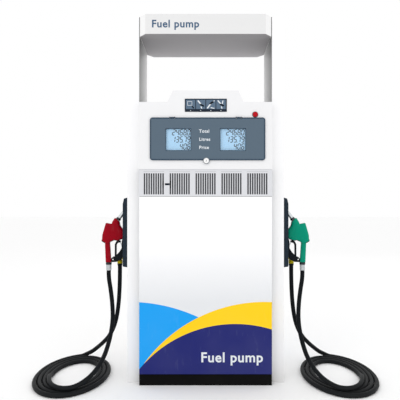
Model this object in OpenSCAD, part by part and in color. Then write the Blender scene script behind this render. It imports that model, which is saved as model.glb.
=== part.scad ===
// Two-nozzle fuel dispenser. Millimetres, +Z up, front faces -Y, origin on the floor under the centre.

/* [Cabinet] */
// Overall height
total_h = 2240; // [2200:10:2300]
// Half width of the central body
body_hw = 402; // [402:1:403]
// Half depth of the central body
body_hd = 250; // [250:1:252]
// Sheet metal thickness
sheet_t = 2; // [1.5:0.5:2.5]
// Height of the base plinth
plinth_h = 66; // [60:1:66]
// Height where the lower doors end
door_top = 1138; // [1130:1:1138]
// Height where the vent band ends and the head begins
band_top = 1303; // [1303:1:1305]
// Height of the head's shoulders
head_top = 1709; // [1700:1:1715]
// Height of the head's raised centre
hump_top = 1778; // [1770:1:1790]
// Underside of the header
header_z = 2119; // [2100:1:2125]

/* [Side columns] */
// Outer face of the side columns from the centre
column_out = 480; // [480:1:480]
// Half depth of the side columns
column_hd = 197; // [195:1:200]

/* [Display] */
// Left edge of the display door
display_x0 = -335; // [-337:1:-333]
// Right edge of the display door
display_x1 = 359; // [357:1:360]
// Bottom edge of the display door
display_z0 = 1357; // [1357:1:1358]
// Top edge of the display door
display_z1 = 1614; // [1614:1:1614]
// Corner radius of the display door
display_r = 16; // [10:1:20]

/* [Vents] */
// Number of louvre groups
louvre_groups = 5; // [3:1:5]
// Slots in each louvre group
louvre_slots = 9; // [5:1:9]
// Width of one louvre slot
louvre_w = 9; // [6:1:10]

/* [Drive] */
// Radius of the motor pulley
motor_pulley_r = 30; // [28:1:30]
// Ratio of the pump pulley to the motor pulley
drive_ratio = 3; // [3:1:3]

/* [Hose] */
// Outer diameter of the delivery hose
hose_d = 28; // [26:1:28]
// Half width of the hose coil
coil_a = 245; // [243:1:246]
// Half depth of the hose coil
coil_b = 389; // [387:1:390]
// Strands across the coil's side
coil_strands = 4; // [3:1:4]

/* [Hidden] */
$fn = 48;

big = 2000;                    // longer than any cut needs
seam = 2;                      // gap between neighbouring doors and covers
tray_d = 20;                   // depth of the doors' and covers' folded edges
door_hw = body_hw - 2;         // half width of the lower doors
door_z0 = plinth_h + seam;     // bottom edge of the lower doors
band_z0 = door_top + seam;     // bottom edge of the vent bands
column_in = body_hw + 2;       // inner face of the side columns
hump_base_hw = 230;            // half width of the raised centre at the shoulders
hump_top_hw = 197;             // half width of the raised centre at its top
header_hw = 363;               // half width of the header's front face

post_x = 361;                  // inner side of the frame's posts
post_y = 196;                  // inner side of the frame's posts
bar = 24;                      // section of the frame's bars
rail_z = plinth_h + 30;        // top of the base rails

hinge_x = 392;                 // lower door hinge axis
hinge_y = 236;                 // lower door hinge axis
door_pin_r = 3;                // lower door hinge pin
display_pin_r = 1.5;           // display door hinge pin
display_barrel_r = 3.2;        // display door hinge barrel
display_axis_y = -258;         // display door hinge axis
display_axis_z = display_z1;   // level with the top edge, so the door's back swings clear
display_t = 8;                 // thickness of the display door
display_hinges = [-200, 200];  // centres of the display door's hinges
display_lugs = [-15.2, 15.2];  // a hinge's two fixed lugs, from its centre
running = 0.05;                // radial clearance of a shaft in its bore

window_z = [1415, 1549];       // bottom and top of the display windows
windows = [[-240, -87], [87, 242]];
lock_x = 4.5;                  // lock on the display door's lower edge
lock_z = 1354;
lock_r = 15.5;
button_x = 299;                // stop button
button_z = 1633;
button_r = 15.5;
button_stem_r = 5;
louvre_pitch = 14;
louvre_z = [1152, 1279];       // bottom and top of the louvre slots
louvre_step = 156;             // distance between louvre groups
counter_x = -231;              // counter slot between the first two groups
counter_z = 1213;

outlet_y = 58;                 // hose outlet and the meter behind it
outlet_z = 740;
outlet_x = 568;
motor_x = 300;
motor_z = 200;
motor_r = 75;
pump_x = 120;
pump_z = 240;
pump_pulley_r = motor_pulley_r * drive_ratio;
pulley_y = -120;               // front faces of the pulleys
pulley_w = 30;
motor_shaft_r = 9;
pump_shaft_r = 11;
inlet_y = 150;                 // suction pipe from the tank
inlet_r = 17;
pipe_r = 13;
feet_y = [-20, 70];            // fixing bolts of the motors and pumps
bolt_r = 4;

swivel_x = 631;                // hose swivel under the nozzle's handle
swivel_z = 661;
lever_x = 562;                 // lever pivot
lever_z = 849;
spout_r = 12;
hose_r = hose_d / 2;
coil_x = 833.5;                // centre of the hose coil
coil_y = -88;

// Hose from the outlet fitting down to the coil's outer turn, right-hand side.
outlet_route = [[568, 58, 699], [568, 58, 640], [570, 59, 550], [576, 62, 450], [590, 71, 350],
    [614, 88, 270], [652, 112, 200], [703, 165, 142], [753, 226, 92], [798, 262, 54],
    [840, 280, 30], [868, 278, 18], [893.3, 272, 14]];
// Hose from the coil's inner end, over the turns and up to the swivel, right-hand side.
nozzle_route = [[972.7, -88, 14], [970, -140, 22], [958, -200, 38], [940, -262, 43],
    [915, -322, 43], [882, -370, 43], [842, -402, 43], [800, -410, 43], [760, -396, 45],
    [722, -352, 52], [685, -290, 70], [655, -215, 100], [630, -150, 150], [616, -85, 210],
    [608, -35, 275], [604, -8, 350], [608, 0, 440], [618, 0, 530], [628, 0, 595], [631, 0, 635],
    [631, 0, 661]];

// Puts right-hand geometry on the left as well, or front geometry at the rear.
module left_of() { mirror([1, 0, 0]) children(); }
module rear_of() { rotate([0, 0, 180]) children(); }
module both_sides() { children(); mirror([1, 0, 0]) children(); }
module both_faces() { children(); rotate([0, 0, 180]) children(); }

// Box between two corners.
module block(low, high) { translate(low) cube(high - low); }
// Outline drawn in X and Z, extruded evenly to both sides of Y = 0.
module flat_part(t) { rotate([90, 0, 0]) linear_extrude(t, center = true) children(); }
// Cylinders along X and Y from a start point.
module rod_x(p, r, l) { translate(p) rotate([0, 90, 0]) cylinder(h = l, r = r); }
module rod_y(p, r, l) { translate(p) rotate([-90, 0, 0]) cylinder(h = l, r = r); }
module rod_z(p, r, l) { translate(p) cylinder(h = l, r = r); }

// Tube swept along a route, with its end faces square to the route.
function unit(v) = v / norm(v);
function route_dir(p, i) = unit(p[min(i + 1, len(p) - 1)] - p[max(i - 1, 0)]);
function ring(p, i, r, sides) = let (t = route_dir(p, i), u = unit(cross(t, [-6, 5, -6])), v = cross(u, t))
    [for (k = [0 : sides - 1]) p[i] + r * (cos(360 * k / sides) * u + sin(360 * k / sides) * v)];
module swept_hose(p, r, sides) {
    n = len(p);
    rings = [for (i = [0 : n - 1]) each ring(p, i, r, sides)];
    walls = [for (i = [0 : n - 2]) for (k = [0 : sides - 1])
        [i * sides + k, i * sides + (k + 1) % sides, (i + 1) * sides + (k + 1) % sides, (i + 1) * sides + k]];
    first = [for (k = [sides - 1 : -1 : 0]) k];
    last = [for (k = [0 : sides - 1]) (n - 1) * sides + k];
    polyhedron(rings, concat([first], walls, [last]));
}

/* ---- Casing ---- */

module base_plinth() {
    wall = 4;
    floor_t = 6;
    x = 400;
    y = body_hd - 2;
    color("#1c1c20") difference() {
        block([-x, -y, 0], [x, y, plinth_h]);
        block([-x + wall, -y + wall, floor_t], [x - wall, y - wall, plinth_h + 1]);
        block([-200, 100, -1], [200, 200, floor_t + 1]);
        for (sx = [-1, 1]) for (sy = [-1, 1])
            rod_z([sx * 320, sy * 200, -1], 7, floor_t + 2);
    }
}

// Octagonal outline of the header, drawn in by the given amount.
module header_outline(inset) {
    x = body_hw + 1 - inset;
    f = header_hw - 0.6 * inset;
    y = body_hd - inset;
    c = column_hd - 0.4 * inset;
    polygon([[-f, -y], [f, -y], [x, -c], [x, c], [f, y], [-f, y], [-x, c], [-x, -c]]);
}

module header_shell() {
    color("#ececec") translate([0, 0, header_z]) difference() {
        linear_extrude(total_h - header_z) header_outline(0);
        translate([0, 0, -1]) linear_extrude(total_h - header_z - sheet_t + 1) header_outline(sheet_t);
    }
}

module header_soffit() {
    color("#9a989a") translate([0, 0, header_z]) linear_extrude(3) header_outline(sheet_t + 0.5);
}

// Side column as a closed sheet box, open where the boot's pocket and the outlet pipe pass.
module side_column_right() {
    color("white") difference() {
        block([column_in, -column_hd, 0], [column_out, column_hd, total_h]);
        block([column_in + sheet_t, -column_hd + sheet_t, sheet_t],
            [column_out - sheet_t, column_hd - sheet_t, total_h - sheet_t]);
        block([column_out - 5, -41, 979], [column_out + 1, 41, 1126]);
        rod_x([column_in - 1, outlet_y, outlet_z], 15, 90);
    }
}

// Front outline of the head, drawn in by the given amount, in X and Z.
module head_outline(inset, base) {
    x = body_hw - inset;
    polygon([[-x, base], [x, base], [x, head_top - inset], [hump_base_hw - 0.7 * inset, head_top - inset],
        [hump_top_hw - 0.7 * inset, hump_top - inset], [-hump_top_hw + 0.7 * inset, hump_top - inset],
        [-hump_base_hw + 0.7 * inset, head_top - inset], [-x, head_top - inset]]);
}

// Openings of one face of the head: display recess, lock hole, and the stop button's guide.
module head_face_cuts() {
    block([display_x0 + 18, -body_hd - 1, display_z0 + 21], [display_x1 - 18, -body_hd + 3, display_z1 - 18]);
    rod_y([lock_x, -body_hd - 1, lock_z], lock_r + 1, 4);
    rod_y([button_x, -body_hd - 1, button_z], button_stem_r + running, 12);
}

module head_shell() {
    color("#f2f2f2") difference() {
        union() {
            difference() {
                flat_part(2 * body_hd) head_outline(0, band_top);
                flat_part(2 * (body_hd - sheet_t)) head_outline(sheet_t, band_top - 1);
            }
            both_faces() rod_y([button_x, -body_hd + 1, button_z], 10, 6);
        }
        both_faces() head_face_cuts();
    }
}

// Folded cover: a plate with its edges turned in.
module tray(x, z0, z1) {
    difference() {
        block([-x, -body_hd, z0], [x, -body_hd + tray_d, z1]);
        block([-x + sheet_t, -body_hd + sheet_t, z0 + sheet_t],
            [x - sheet_t, -body_hd + tray_d + 1, z1 - sheet_t]);
    }
}

module vent_band_front() {
    first = -louvre_step * (louvre_groups - 1) / 2;
    color("#e1e2e6") difference() {
        tray(body_hw, band_z0, band_top - 0.5);
        for (g = [0 : louvre_groups - 1]) for (s = [0 : louvre_slots - 1]) {
            x = first + g * louvre_step + (s - (louvre_slots - 1) / 2) * louvre_pitch;
            block([x - louvre_w / 2, -body_hd - 1, louvre_z[0]], [x + louvre_w / 2, -body_hd + 4, louvre_z[1]]);
        }
        block([counter_x - 14, -body_hd - 1, counter_z - 6], [counter_x + 14, -body_hd + 4, counter_z + 6]);
    }
}

module instruction_plates() {
    color("#28303c") both_faces() block([-125, -body_hd - 3, 1649], [128, -body_hd, 1728]);
}

module totalisers() {
    color("#101014") both_faces()
        block([counter_x - 30, -body_hd + 2.5, counter_z - 20], [counter_x + 30, -200, counter_z + 20]);
}

module lcd_modules() {
    color("#b4d7f0") both_faces() for (w = windows) {
        block([w[0] - 5, -245, window_z[0] - 5], [w[1] + 5, -225, window_z[1] + 5]);
        for (x = [w[0] + 10, w[1] - 10]) for (z = [window_z[0] + 10, window_z[1] - 10])
            rod_y([x, -226, z], 4, 26);
    }
}

module control_box() {
    color("#b8bcc0") difference() {
        block([-310, -200, 1380], [310, 200, 1590]);
        block([-308, -198, 1382], [308, 198, 1588]);
    }
}

module inner_frame() {
    top = head_top - 10;
    reach = post_x + bar;
    color("#8a8f94") difference() {
        union() {
            for (sx = [-1, 1]) for (sy = [-1, 1])
                translate([sx * (post_x + bar / 2), sy * (post_y + bar / 2), (top + 6) / 2])
                    cube([bar, bar, top - 6], center = true);
            for (sx = [-1, 1]) for (z = [rail_z - bar, 1270, 1356])
                translate([sx * (post_x + bar / 2), 0, z + bar / 2])
                    cube([bar, 2 * post_y + bar, bar], center = true);
            block([-399, -40, plinth_h], [399, 0, rail_z]);
            block([-399, 50, plinth_h], [399, 90, rail_z]);
            for (y = [-90, 90]) block([-reach, y - 12, 1356], [reach, y + 12, 1380]);
            for (sx = [-1, 1]) for (sy = [-1, 1])
                translate([sx * 400, sy * 207, (door_z0 + band_top) / 2])
                    cube([4, 20, band_top - door_z0], center = true);
            for (sx = [-1, 1]) for (sy = [-1, 1]) for (z = [100, 600, 1100])
                translate([sx * 392, sy * 207, z]) cube([16, 10, 20], center = true);
        }
        both_sides() foot_holes(rail_z - 31);
    }
}

// Fixing holes of the right-hand motor and pump, from height z.
module foot_holes(z) {
    for (x = [pump_x - 70, pump_x + 70, motor_x - 50, motor_x + 50]) for (y = feet_y)
        rod_z([x, y, z], bolt_r + 0.2, 60);
}

module frame_bolts() {
    color("silver") both_sides()
        for (x = [pump_x - 70, pump_x + 70, motor_x - 50, motor_x + 50]) for (y = feet_y) {
            rod_z([x, y, rail_z - 24], bolt_r, 40);
            translate([x, y, rail_z + 12]) cylinder(h = 6, r = 8, $fn = 6);
        }
}

/* ---- Doors, lock and button ---- */

module hinge_pins() {
    color("#a0a4a8") both_faces() {
        for (z = [plinth_h, band_z0 - 16]) rod_z([-hinge_x, -hinge_y, z], door_pin_r, 16);
        for (c = display_hinges) {
            rod_x([c - 18, display_axis_y, display_axis_z], display_pin_r, 36);
            for (s = display_lugs)
                block([c + s - 2.8, display_axis_y - 3, display_axis_z - 3.5],
                    [c + s + 2.8, -body_hd, display_axis_z + 3.5]);
        }
    }
}

module lower_door_front() {
    color("white") difference() {
        union() {
            tray(door_hw, door_z0, door_top);
            for (z = [door_z0 + 1, door_top - 11])
                block([-door_hw + 1, -body_hd + 1, z], [-door_hw + 18, -body_hd + tray_d, z + 10]);
        }
        rod_z([-hinge_x, -hinge_y, door_z0 - 1], door_pin_r + running, 13);
        rod_z([-hinge_x, -hinge_y, door_top - 12], door_pin_r + running, 13);
    }
}

// Rounded outline of the display door with its lock tab, in X and Z.
module display_outline() {
    translate([display_x0 + display_r, display_z0]) square([display_x1 - display_x0 - 2 * display_r,
        display_z1 - display_z0]);
    translate([display_x0, display_z0 + display_r]) square([display_x1 - display_x0,
        display_z1 - display_z0 - 2 * display_r]);
    for (x = [display_x0 + display_r, display_x1 - display_r])
        for (z = [display_z0 + display_r, display_z1 - display_r]) translate([x, z]) circle(display_r);
    translate([lock_x, lock_z]) circle(lock_r + 3.5);
}

module display_door_front() {
    mid_y = -body_hd - display_t / 2;
    color("#647584") difference() {
        union() {
            difference() {
                translate([0, mid_y, 0]) flat_part(display_t) display_outline();
                for (c = display_hinges) for (s = display_lugs)
                    block([c + s - 3.4, -big, display_z1 - 8], [c + s + 3.4, big, display_z1 + 1]);
            }
            for (c = display_hinges)
                rod_x([c - 11.8, display_axis_y, display_axis_z], display_barrel_r, 23.6);
        }
        for (w = windows)
            block([w[0], -body_hd - 20, window_z[0]], [w[1], -body_hd + 1, window_z[1]]);
        for (c = display_hinges)
            rod_x([c - 20, display_axis_y, display_axis_z], display_pin_r + running, 40);
        rod_y([lock_x, -body_hd - 20, lock_z], 5 + running, 30);
    }
}

module display_window_front() {
    color("#cfe4f2", 0.4) for (w = windows)
        block([w[0] - 8, -body_hd, window_z[0] - 8], [w[1] + 8, -body_hd + 2.5, window_z[1] + 8]);
}

module door_lock_front() {
    color("#f4f4f4") {
        rod_y([lock_x, -body_hd - display_t - 4, lock_z], lock_r, 3.6);
        rod_y([lock_x, -body_hd - display_t - 1, lock_z], 5, display_t + 6);
        block([lock_x - 4, -body_hd + 0.5, lock_z - 14.5], [lock_x + 4, -body_hd + 4.5, lock_z + 4]);
    }
}

module stop_button_front() {
    color("#c02030") {
        rod_y([button_x, -body_hd - 12, button_z], button_r, 7);
        rod_y([button_x, -body_hd - 6, button_z], button_stem_r, 17);
    }
}

/* ---- Nozzle side ---- */

// Side outline of the boot, in X and Z.
module boot_outline(inset) {
    x0 = column_out;
    x1 = column_out + 46 - inset;
    polygon([[x0, 688 + inset], [x1 - 2, 695 + inset], [x1, 700 + inset], [x1, 1093 - inset / 4],
        [x1 - 8, 1127 - inset], [x0, 1139 - inset]]);
}

module boot_right() {
    shell = 4;
    channel_x = 506;
    hw = 35;
    pocket = [column_in + 27, 985, 1118];
    color("#384048") difference() {
        union() {
            difference() {
                flat_part(180) boot_outline(0);
                flat_part(180 - 2 * shell) intersection() {
                    boot_outline(shell);
                    translate([column_out - 1, 0]) square([100, big]);
                }
            }
            intersection() {
                flat_part(180) boot_outline(0);
                block([channel_x - shell, -hw - shell, 716], [column_out + 46, hw + shell, pocket[2] + shell]);
            }
            block([pocket[0] - shell, -hw - shell, pocket[1] - shell], [channel_x, hw + shell, pocket[2] + shell]);
        }
        block([channel_x, -hw, 720], [column_out + 60, hw, pocket[2]]);
        block([pocket[0], -hw, pocket[1]], [channel_x + 1, hw, pocket[2]]);
        rod_x([column_out - 1, outlet_y, outlet_z], 16.5, 60);
    }
}

module outlet_fitting_right() {
    r = 15;
    color("#c8b820") {
        rod_x([column_out, outlet_y, outlet_z], r, outlet_x - column_out);
        translate([outlet_x, outlet_y, outlet_z]) sphere(r);
        rod_z([outlet_x, outlet_y, 710], r, outlet_z - 710);
        rod_z([outlet_x, outlet_y, 699], 17, 20);
        translate([column_out + 48, outlet_y, outlet_z]) rotate([0, 90, 0]) cylinder(h = 14, r = 20, $fn = 6);
    }
}

// Side outline of the nozzle's valve body, in X and Z.
module nozzle_outline() {
    polygon([[648, 969], [611, 962], [607, 975], [591, 1001], [577, 996], [560, 975], [556, 952],
        [544, 934], [532, 922], [532, 872], [542, 867], [572, 857], [593, 860], [614, 851], [623, 839],
        [655, 842], [673, 853], [671, 890], [660, 929]]);
}

module nozzle_body(hue) {
    color(hue) difference() {
        union() {
            flat_part(52) nozzle_outline();
            flat_part(32) polygon([[623, 845], [614, 713], [650, 713], [655, 845]]);
        }
        translate([578, 0, 979]) rotate([0, -36, 0]) rod_z([0, 0, -1], spout_r + 0.3, 60);
        rod_z([swivel_x, 0, 700], 8 + running, 31);
        block([546, -6, 838], [600, 6, 864]);
        rod_y([lever_x, -40, lever_z], 3 + running, 80);
    }
}

// Spout that leaves the body steeply and levels out past its bend.
module nozzle_spout_right() {
    root_l = 67;
    tip_l = 113;
    color("silver") translate([578, 0, 979]) rotate([0, -36, 0]) {
        rod_z([0, 0, 0], spout_r, root_l);
        translate([0, 0, root_l]) {
            sphere(spout_r);
            rotate([0, -24, 0]) difference() {
                rod_z([0, 0, 0], spout_r, tip_l);
                rod_z([0, 0, tip_l - 80], spout_r - 2.5, 81);
            }
        }
    }
}

// Guard with two cheeks that the lever moves between, joined along its outer edge.
module lever_guard_right() {
    color("#20242a") difference() {
        flat_part(18) polygon([[532.5, 870.5], [532.5, 765], [548, 730], [580, 715], [613, 714], [613, 738],
            [604, 748], [588, 752], [560, 782], [546, 806], [546, 846], [541, 866]]);
        block([568, -6, 722], [620, 6, 800]);
        rod_y([604, -20, 730], 5, 40);
    }
}

module trigger_lever_right() {
    color("#15151a") {
        flat_part(10) polygon([[553, 854], [552, 844], [572, 838], [579, 826], [580, 730], [588, 727],
            [592, 733], [591, 830], [582, 848], [572, 857]]);
        rod_y([lever_x, -24, lever_z], 3, 48);
    }
}

module hose_swivel_right() {
    color("#c4c8cc") {
        rod_z([swivel_x, 0, swivel_z], 17.5, 38);
        rod_z([swivel_x, 0, swivel_z + 37], 19.5, 14.5);
        rod_z([swivel_x, 0, swivel_z + 50], 8, 19);
    }
}

/* ---- Drive and hydraulics ---- */

module motor_right() {
    color("#5c6c7c") difference() {
        union() {
            rod_y([motor_x, -60, motor_z], motor_r, 210);
            rod_y([motor_x, -75, motor_z], 60, 20);
            rod_y([motor_x, 149, motor_z], 70, 35);
            block([motor_x - 60, -40, rail_z], [motor_x + 60, 90, rail_z + 12]);
            block([motor_x - 35, -40, rail_z + 10], [motor_x + 35, 90, motor_z]);
            block([motor_x - 25, 0, motor_z + 60], [motor_x + 25, 70, motor_z + 110]);
        }
        rod_y([motor_x, -76, motor_z], motor_shaft_r + running, 38);
        foot_holes(rail_z - 1);
    }
}

module pump_right() {
    color("#7a8288") difference() {
        union() {
            block([pump_x - 60, -55, rail_z + 11], [pump_x + 60, 95, 330]);
            block([pump_x - 80, -40, rail_z], [pump_x + 80, 90, rail_z + 12]);
            rod_y([pump_x, -75, pump_z], 45, 30);
            rod_z([pump_x, outlet_y, 329], 24, 16);
            rod_z([pump_x - 28, -10, 329], 30, 40);
        }
        rod_y([pump_x, -76, pump_z], pump_shaft_r + running, 48);
        foot_holes(rail_z - 1);
    }
}

module meter_right() {
    z = 550;
    color("#a8acb0") {
        rod_z([pump_x, outlet_y, z - 30], 66, 60);
        for (a = [45 : 90 : 315]) translate([pump_x, outlet_y, z]) rotate([0, 0, a]) {
            rod_x([50, 0, 0], 26, 50);
            rod_x([98, 0, 0], 30, 10);
        }
        rod_z([pump_x, outlet_y, z + 29], 38, 46);
    }
}

module valve_right() {
    z = 550;
    color("#b09040") {
        block([motor_x - 25, outlet_y - 25, z - 30], [motor_x + 25, outlet_y + 25, z + 30]);
        rod_z([motor_x, outlet_y, z + 29], 21, 52);
    }
}

module pipework_right() {
    turn_x = 345;
    color("#9aa0a6") {
        difference() {
            union() {
                rod_z([pump_x, inlet_y, 0], inlet_r + 3, 200);
                translate([pump_x, inlet_y, 200]) sphere(inlet_r + 3);
                rod_y([pump_x, 95, 200], inlet_r + 3, inlet_y - 95);
            }
            rod_z([pump_x, inlet_y, -1], inlet_r, 101);
        }
        rod_z([pump_x, outlet_y, 345], pipe_r, 175);
        rod_x([pump_x + 66, outlet_y, 550], pipe_r, motor_x - 25 - pump_x - 66);
        rod_x([motor_x + 25, outlet_y, 550], pipe_r, turn_x - motor_x - 25);
        translate([turn_x, outlet_y, 550]) sphere(pipe_r);
        rod_z([turn_x, outlet_y, 550], pipe_r, outlet_z - 550);
        translate([turn_x, outlet_y, outlet_z]) sphere(pipe_r);
        rod_x([turn_x, outlet_y, outlet_z], pipe_r, column_out - turn_x);
    }
}

// Flat-rimmed pulley on its shaft, with the shaft running back into its bearing.
module pulley(x, z, r, shaft_r, shaft_l) {
    difference() {
        union() {
            rod_y([x, pulley_y, z], r, pulley_w);
            rod_y([x, pulley_y, z], shaft_r, shaft_l);
        }
        if (r > 60) for (a = [0 : 60 : 300])
            rod_y([x + 58 * cos(a), pulley_y - 1, z + 58 * sin(a)], 16, pulley_w + 2);
    }
}

module motor_pulley_right() {
    color("#6a6e72") pulley(motor_x, motor_z, motor_pulley_r, motor_shaft_r, 80);
}

module pump_pulley_right() {
    color("#6a6e72") pulley(pump_x, pump_z, pump_pulley_r, pump_shaft_r, 90);
}

// Outline round both pulleys, grown by the given amount, in X and Z.
module belt_outline(grow) {
    hull() {
        translate([motor_x, motor_z]) circle(motor_pulley_r + grow);
        translate([pump_x, pump_z]) circle(pump_pulley_r + grow);
    }
}

module drive_belts() {
    color("#202020") both_sides() translate([0, pulley_y + pulley_w / 2, 0]) flat_part(20) difference() {
        belt_outline(6);
        belt_outline(0.8);
    }
}

/* ---- Hoses ---- */

module ellipse(a, b) {
    polygon([for (t = [0 : 7.5 : 359]) [a * cos(t), b * sin(t)]]);
}

module hose_coil_right() {
    band = coil_strands * hose_d + 7;
    color("#202226") translate([coil_x, coil_y, 0]) linear_extrude(hose_d) difference() {
        ellipse(coil_a, coil_b);
        ellipse(coil_a - band, coil_b - band * 1.32);   // the turns close up faster in depth
    }
}

module hose_outlet_run_right() { color("#202226") swept_hose(outlet_route, hose_r, 8); }
module hose_nozzle_run_right() { color("#202226") swept_hose(nozzle_route, hose_r, 8); }

base_plinth();
inner_frame();
left_of() side_column_right();  // side_column_left
side_column_right();
header_shell();
header_soffit();
head_shell();
vent_band_front();
rear_of() vent_band_front();  // vent_band_rear
instruction_plates();
lcd_modules();
totalisers();
control_box();
hinge_pins();
frame_bolts();
drive_belts();
left_of() boot_right();  // boot_left
boot_right();
left_of() outlet_fitting_right();  // outlet_fitting_left
outlet_fitting_right();
left_of() motor_right();  // motor_left
motor_right();
left_of() pump_right();  // pump_left
pump_right();
left_of() meter_right();  // meter_left
meter_right();
left_of() valve_right();  // valve_left
valve_right();
left_of() pipework_right();  // pipework_left
pipework_right();
left_of() hose_outlet_run_right();  // hose_outlet_run_left
hose_outlet_run_right();
left_of() hose_coil_right();  // hose_coil_left
hose_coil_right();
left_of() hose_nozzle_run_right();  // hose_nozzle_run_left
hose_nozzle_run_right();
display_door_front();
rear_of() display_door_front();  // display_door_rear
display_window_front();
rear_of() display_window_front();  // display_window_rear
door_lock_front();
rear_of() door_lock_front();  // door_lock_rear
lower_door_front();
rear_of() lower_door_front();  // lower_door_rear
stop_button_front();
rear_of() stop_button_front();  // stop_button_rear
left_of() nozzle_body("#a8001e");  // nozzle_body_left
nozzle_body("#009070");  // nozzle_body_right
left_of() nozzle_spout_right();  // nozzle_spout_left
nozzle_spout_right();
left_of() lever_guard_right();  // lever_guard_left
lever_guard_right();
left_of() trigger_lever_right();  // trigger_lever_left
trigger_lever_right();
left_of() hose_swivel_right();  // hose_swivel_left
hose_swivel_right();
left_of() motor_pulley_right();  // motor_pulley_left
motor_pulley_right();
left_of() pump_pulley_right();  // pump_pulley_left
pump_pulley_right();
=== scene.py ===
"""Looks of a two-nozzle fuel dispenser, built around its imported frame. Lengths are in metres."""

import logging
import math
from dataclasses import dataclass
from enum import Enum

import bmesh
import bpy
from mathutils import Matrix, Vector
from mathutils.bvhtree import BVHTree


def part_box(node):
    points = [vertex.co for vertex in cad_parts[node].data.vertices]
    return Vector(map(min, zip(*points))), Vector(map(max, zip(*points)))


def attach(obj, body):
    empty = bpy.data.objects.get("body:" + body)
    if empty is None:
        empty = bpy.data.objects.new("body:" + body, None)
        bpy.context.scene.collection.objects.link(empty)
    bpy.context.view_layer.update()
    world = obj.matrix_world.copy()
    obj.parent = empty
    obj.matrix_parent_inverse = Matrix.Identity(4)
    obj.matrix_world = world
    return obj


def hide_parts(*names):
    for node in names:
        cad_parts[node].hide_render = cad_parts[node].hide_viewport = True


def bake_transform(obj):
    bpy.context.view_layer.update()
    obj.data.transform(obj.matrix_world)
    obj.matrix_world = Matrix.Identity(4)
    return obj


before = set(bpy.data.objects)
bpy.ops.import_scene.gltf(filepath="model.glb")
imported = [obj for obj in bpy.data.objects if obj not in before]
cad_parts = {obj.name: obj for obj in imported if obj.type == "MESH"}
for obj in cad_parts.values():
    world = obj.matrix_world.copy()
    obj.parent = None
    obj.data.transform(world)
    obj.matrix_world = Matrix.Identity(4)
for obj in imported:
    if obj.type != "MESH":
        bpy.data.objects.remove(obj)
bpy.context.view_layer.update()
log = logging.getLogger("dispenser")

MM = 0.001
ROOT = "cabinet"
Colour = tuple[float, float, float]


class Side(Enum):
    """The two hose positions. The value is the sign of X."""

    LEFT = -1
    RIGHT = 1

    @property
    def label(self) -> str:
        """The word that node names end with."""
        return self.name.lower()


class Face(Enum):
    """The two customer faces. The value turns a front place into this face's place."""

    FRONT = 1
    REAR = -1

    @property
    def label(self) -> str:
        """The word that node names end with."""
        return self.name.lower()

    @property
    def turn(self) -> Matrix:
        """Half a turn about Z for the rear, nothing for the front."""
        return Matrix.Rotation(0.0 if self is Face.FRONT else math.pi, 4, "Z")


def srgb(red: int, green: int, blue: int) -> Colour:
    """Linear colour of a paint given as 0 to 255 screen values."""
    shares = (red / 255, green / 255, blue / 255)
    return tuple(((v + 0.055) / 1.055) ** 2.4 if v > 10 / 255 else v / 12.92 for v in shares)


# ---------------------------------------------------------------- materials


class Graph:
    """A thin wrapper that adds and joins shader nodes in one tree."""

    def __init__(self, tree: bpy.types.NodeTree) -> None:
        """Keeps the tree that the nodes go into."""
        self.tree = tree

    def add(self, kind: str, **settings: object) -> bpy.types.Node:
        """Adds a node.

        Args:
            kind: the node's type name, without the word ShaderNode.
            settings: properties to set, and sockets by name with spaces as underscores.

        Returns:
            The new node.
        """
        node = self.tree.nodes.new("ShaderNode" + kind)
        for key, value in settings.items():
            socket = key.replace("_", " ")
            if hasattr(node, key):
                setattr(node, key, value)
            elif isinstance(value, bpy.types.NodeSocket):
                self.tree.links.new(value, node.inputs[socket])
            else:
                node.inputs[socket].default_value = value
        return node

    def math(self, operation: str, a: object, b: object = 0.0, c: object = 0.0) -> bpy.types.NodeSocket:
        """Adds a Math node on numbers or sockets and returns its output."""
        node = self.tree.nodes.new("ShaderNodeMath")
        node.operation = operation
        for socket, value in zip(node.inputs, (a, b, c)):
            if isinstance(value, bpy.types.NodeSocket):
                self.tree.links.new(value, socket)
            else:
                socket.default_value = value
        return node.outputs[0]

    def mix(self, amount: object, a: object, b: object) -> bpy.types.NodeSocket:
        """Mixes two colours by an amount and returns the colour."""
        node = self.tree.nodes.new("ShaderNodeMix")
        node.data_type = "RGBA"
        for index, value in ((0, amount), (6, a), (7, b)):
            if isinstance(value, bpy.types.NodeSocket):
                self.tree.links.new(value, node.inputs[index])
            elif isinstance(value, tuple):
                node.inputs[index].default_value = (*value, 1.0)
            else:
                node.inputs[index].default_value = value
        return node.outputs[2]

    def place(self) -> tuple[bpy.types.NodeSocket, bpy.types.NodeSocket, bpy.types.NodeSocket]:
        """Returns the X, Y and Z of the point on the object."""
        where = self.add("TexCoord").outputs["Object"]
        split = self.add("SeparateXYZ", Vector=where)
        return split.outputs[0], split.outputs[1], split.outputs[2]


def new_group(
    name: str, inputs: dict[str, float], outputs: dict[str, str],
) -> tuple[bpy.types.NodeTree, Graph]:
    """Starts a shader node group.

    Args:
        name: the group's name.
        inputs: each input's name and default number.
        outputs: each output's name and socket type.

    Returns:
        The group and a graph to fill it with.
    """
    tree = bpy.data.node_groups.new(name, "ShaderNodeTree")
    for key, value in inputs.items():
        tree.interface.new_socket(key, in_out="INPUT", socket_type="NodeSocketFloat").default_value = value
    for key, kind in outputs.items():
        tree.interface.new_socket(key, in_out="OUTPUT", socket_type=kind)
    return tree, Graph(tree)


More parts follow.
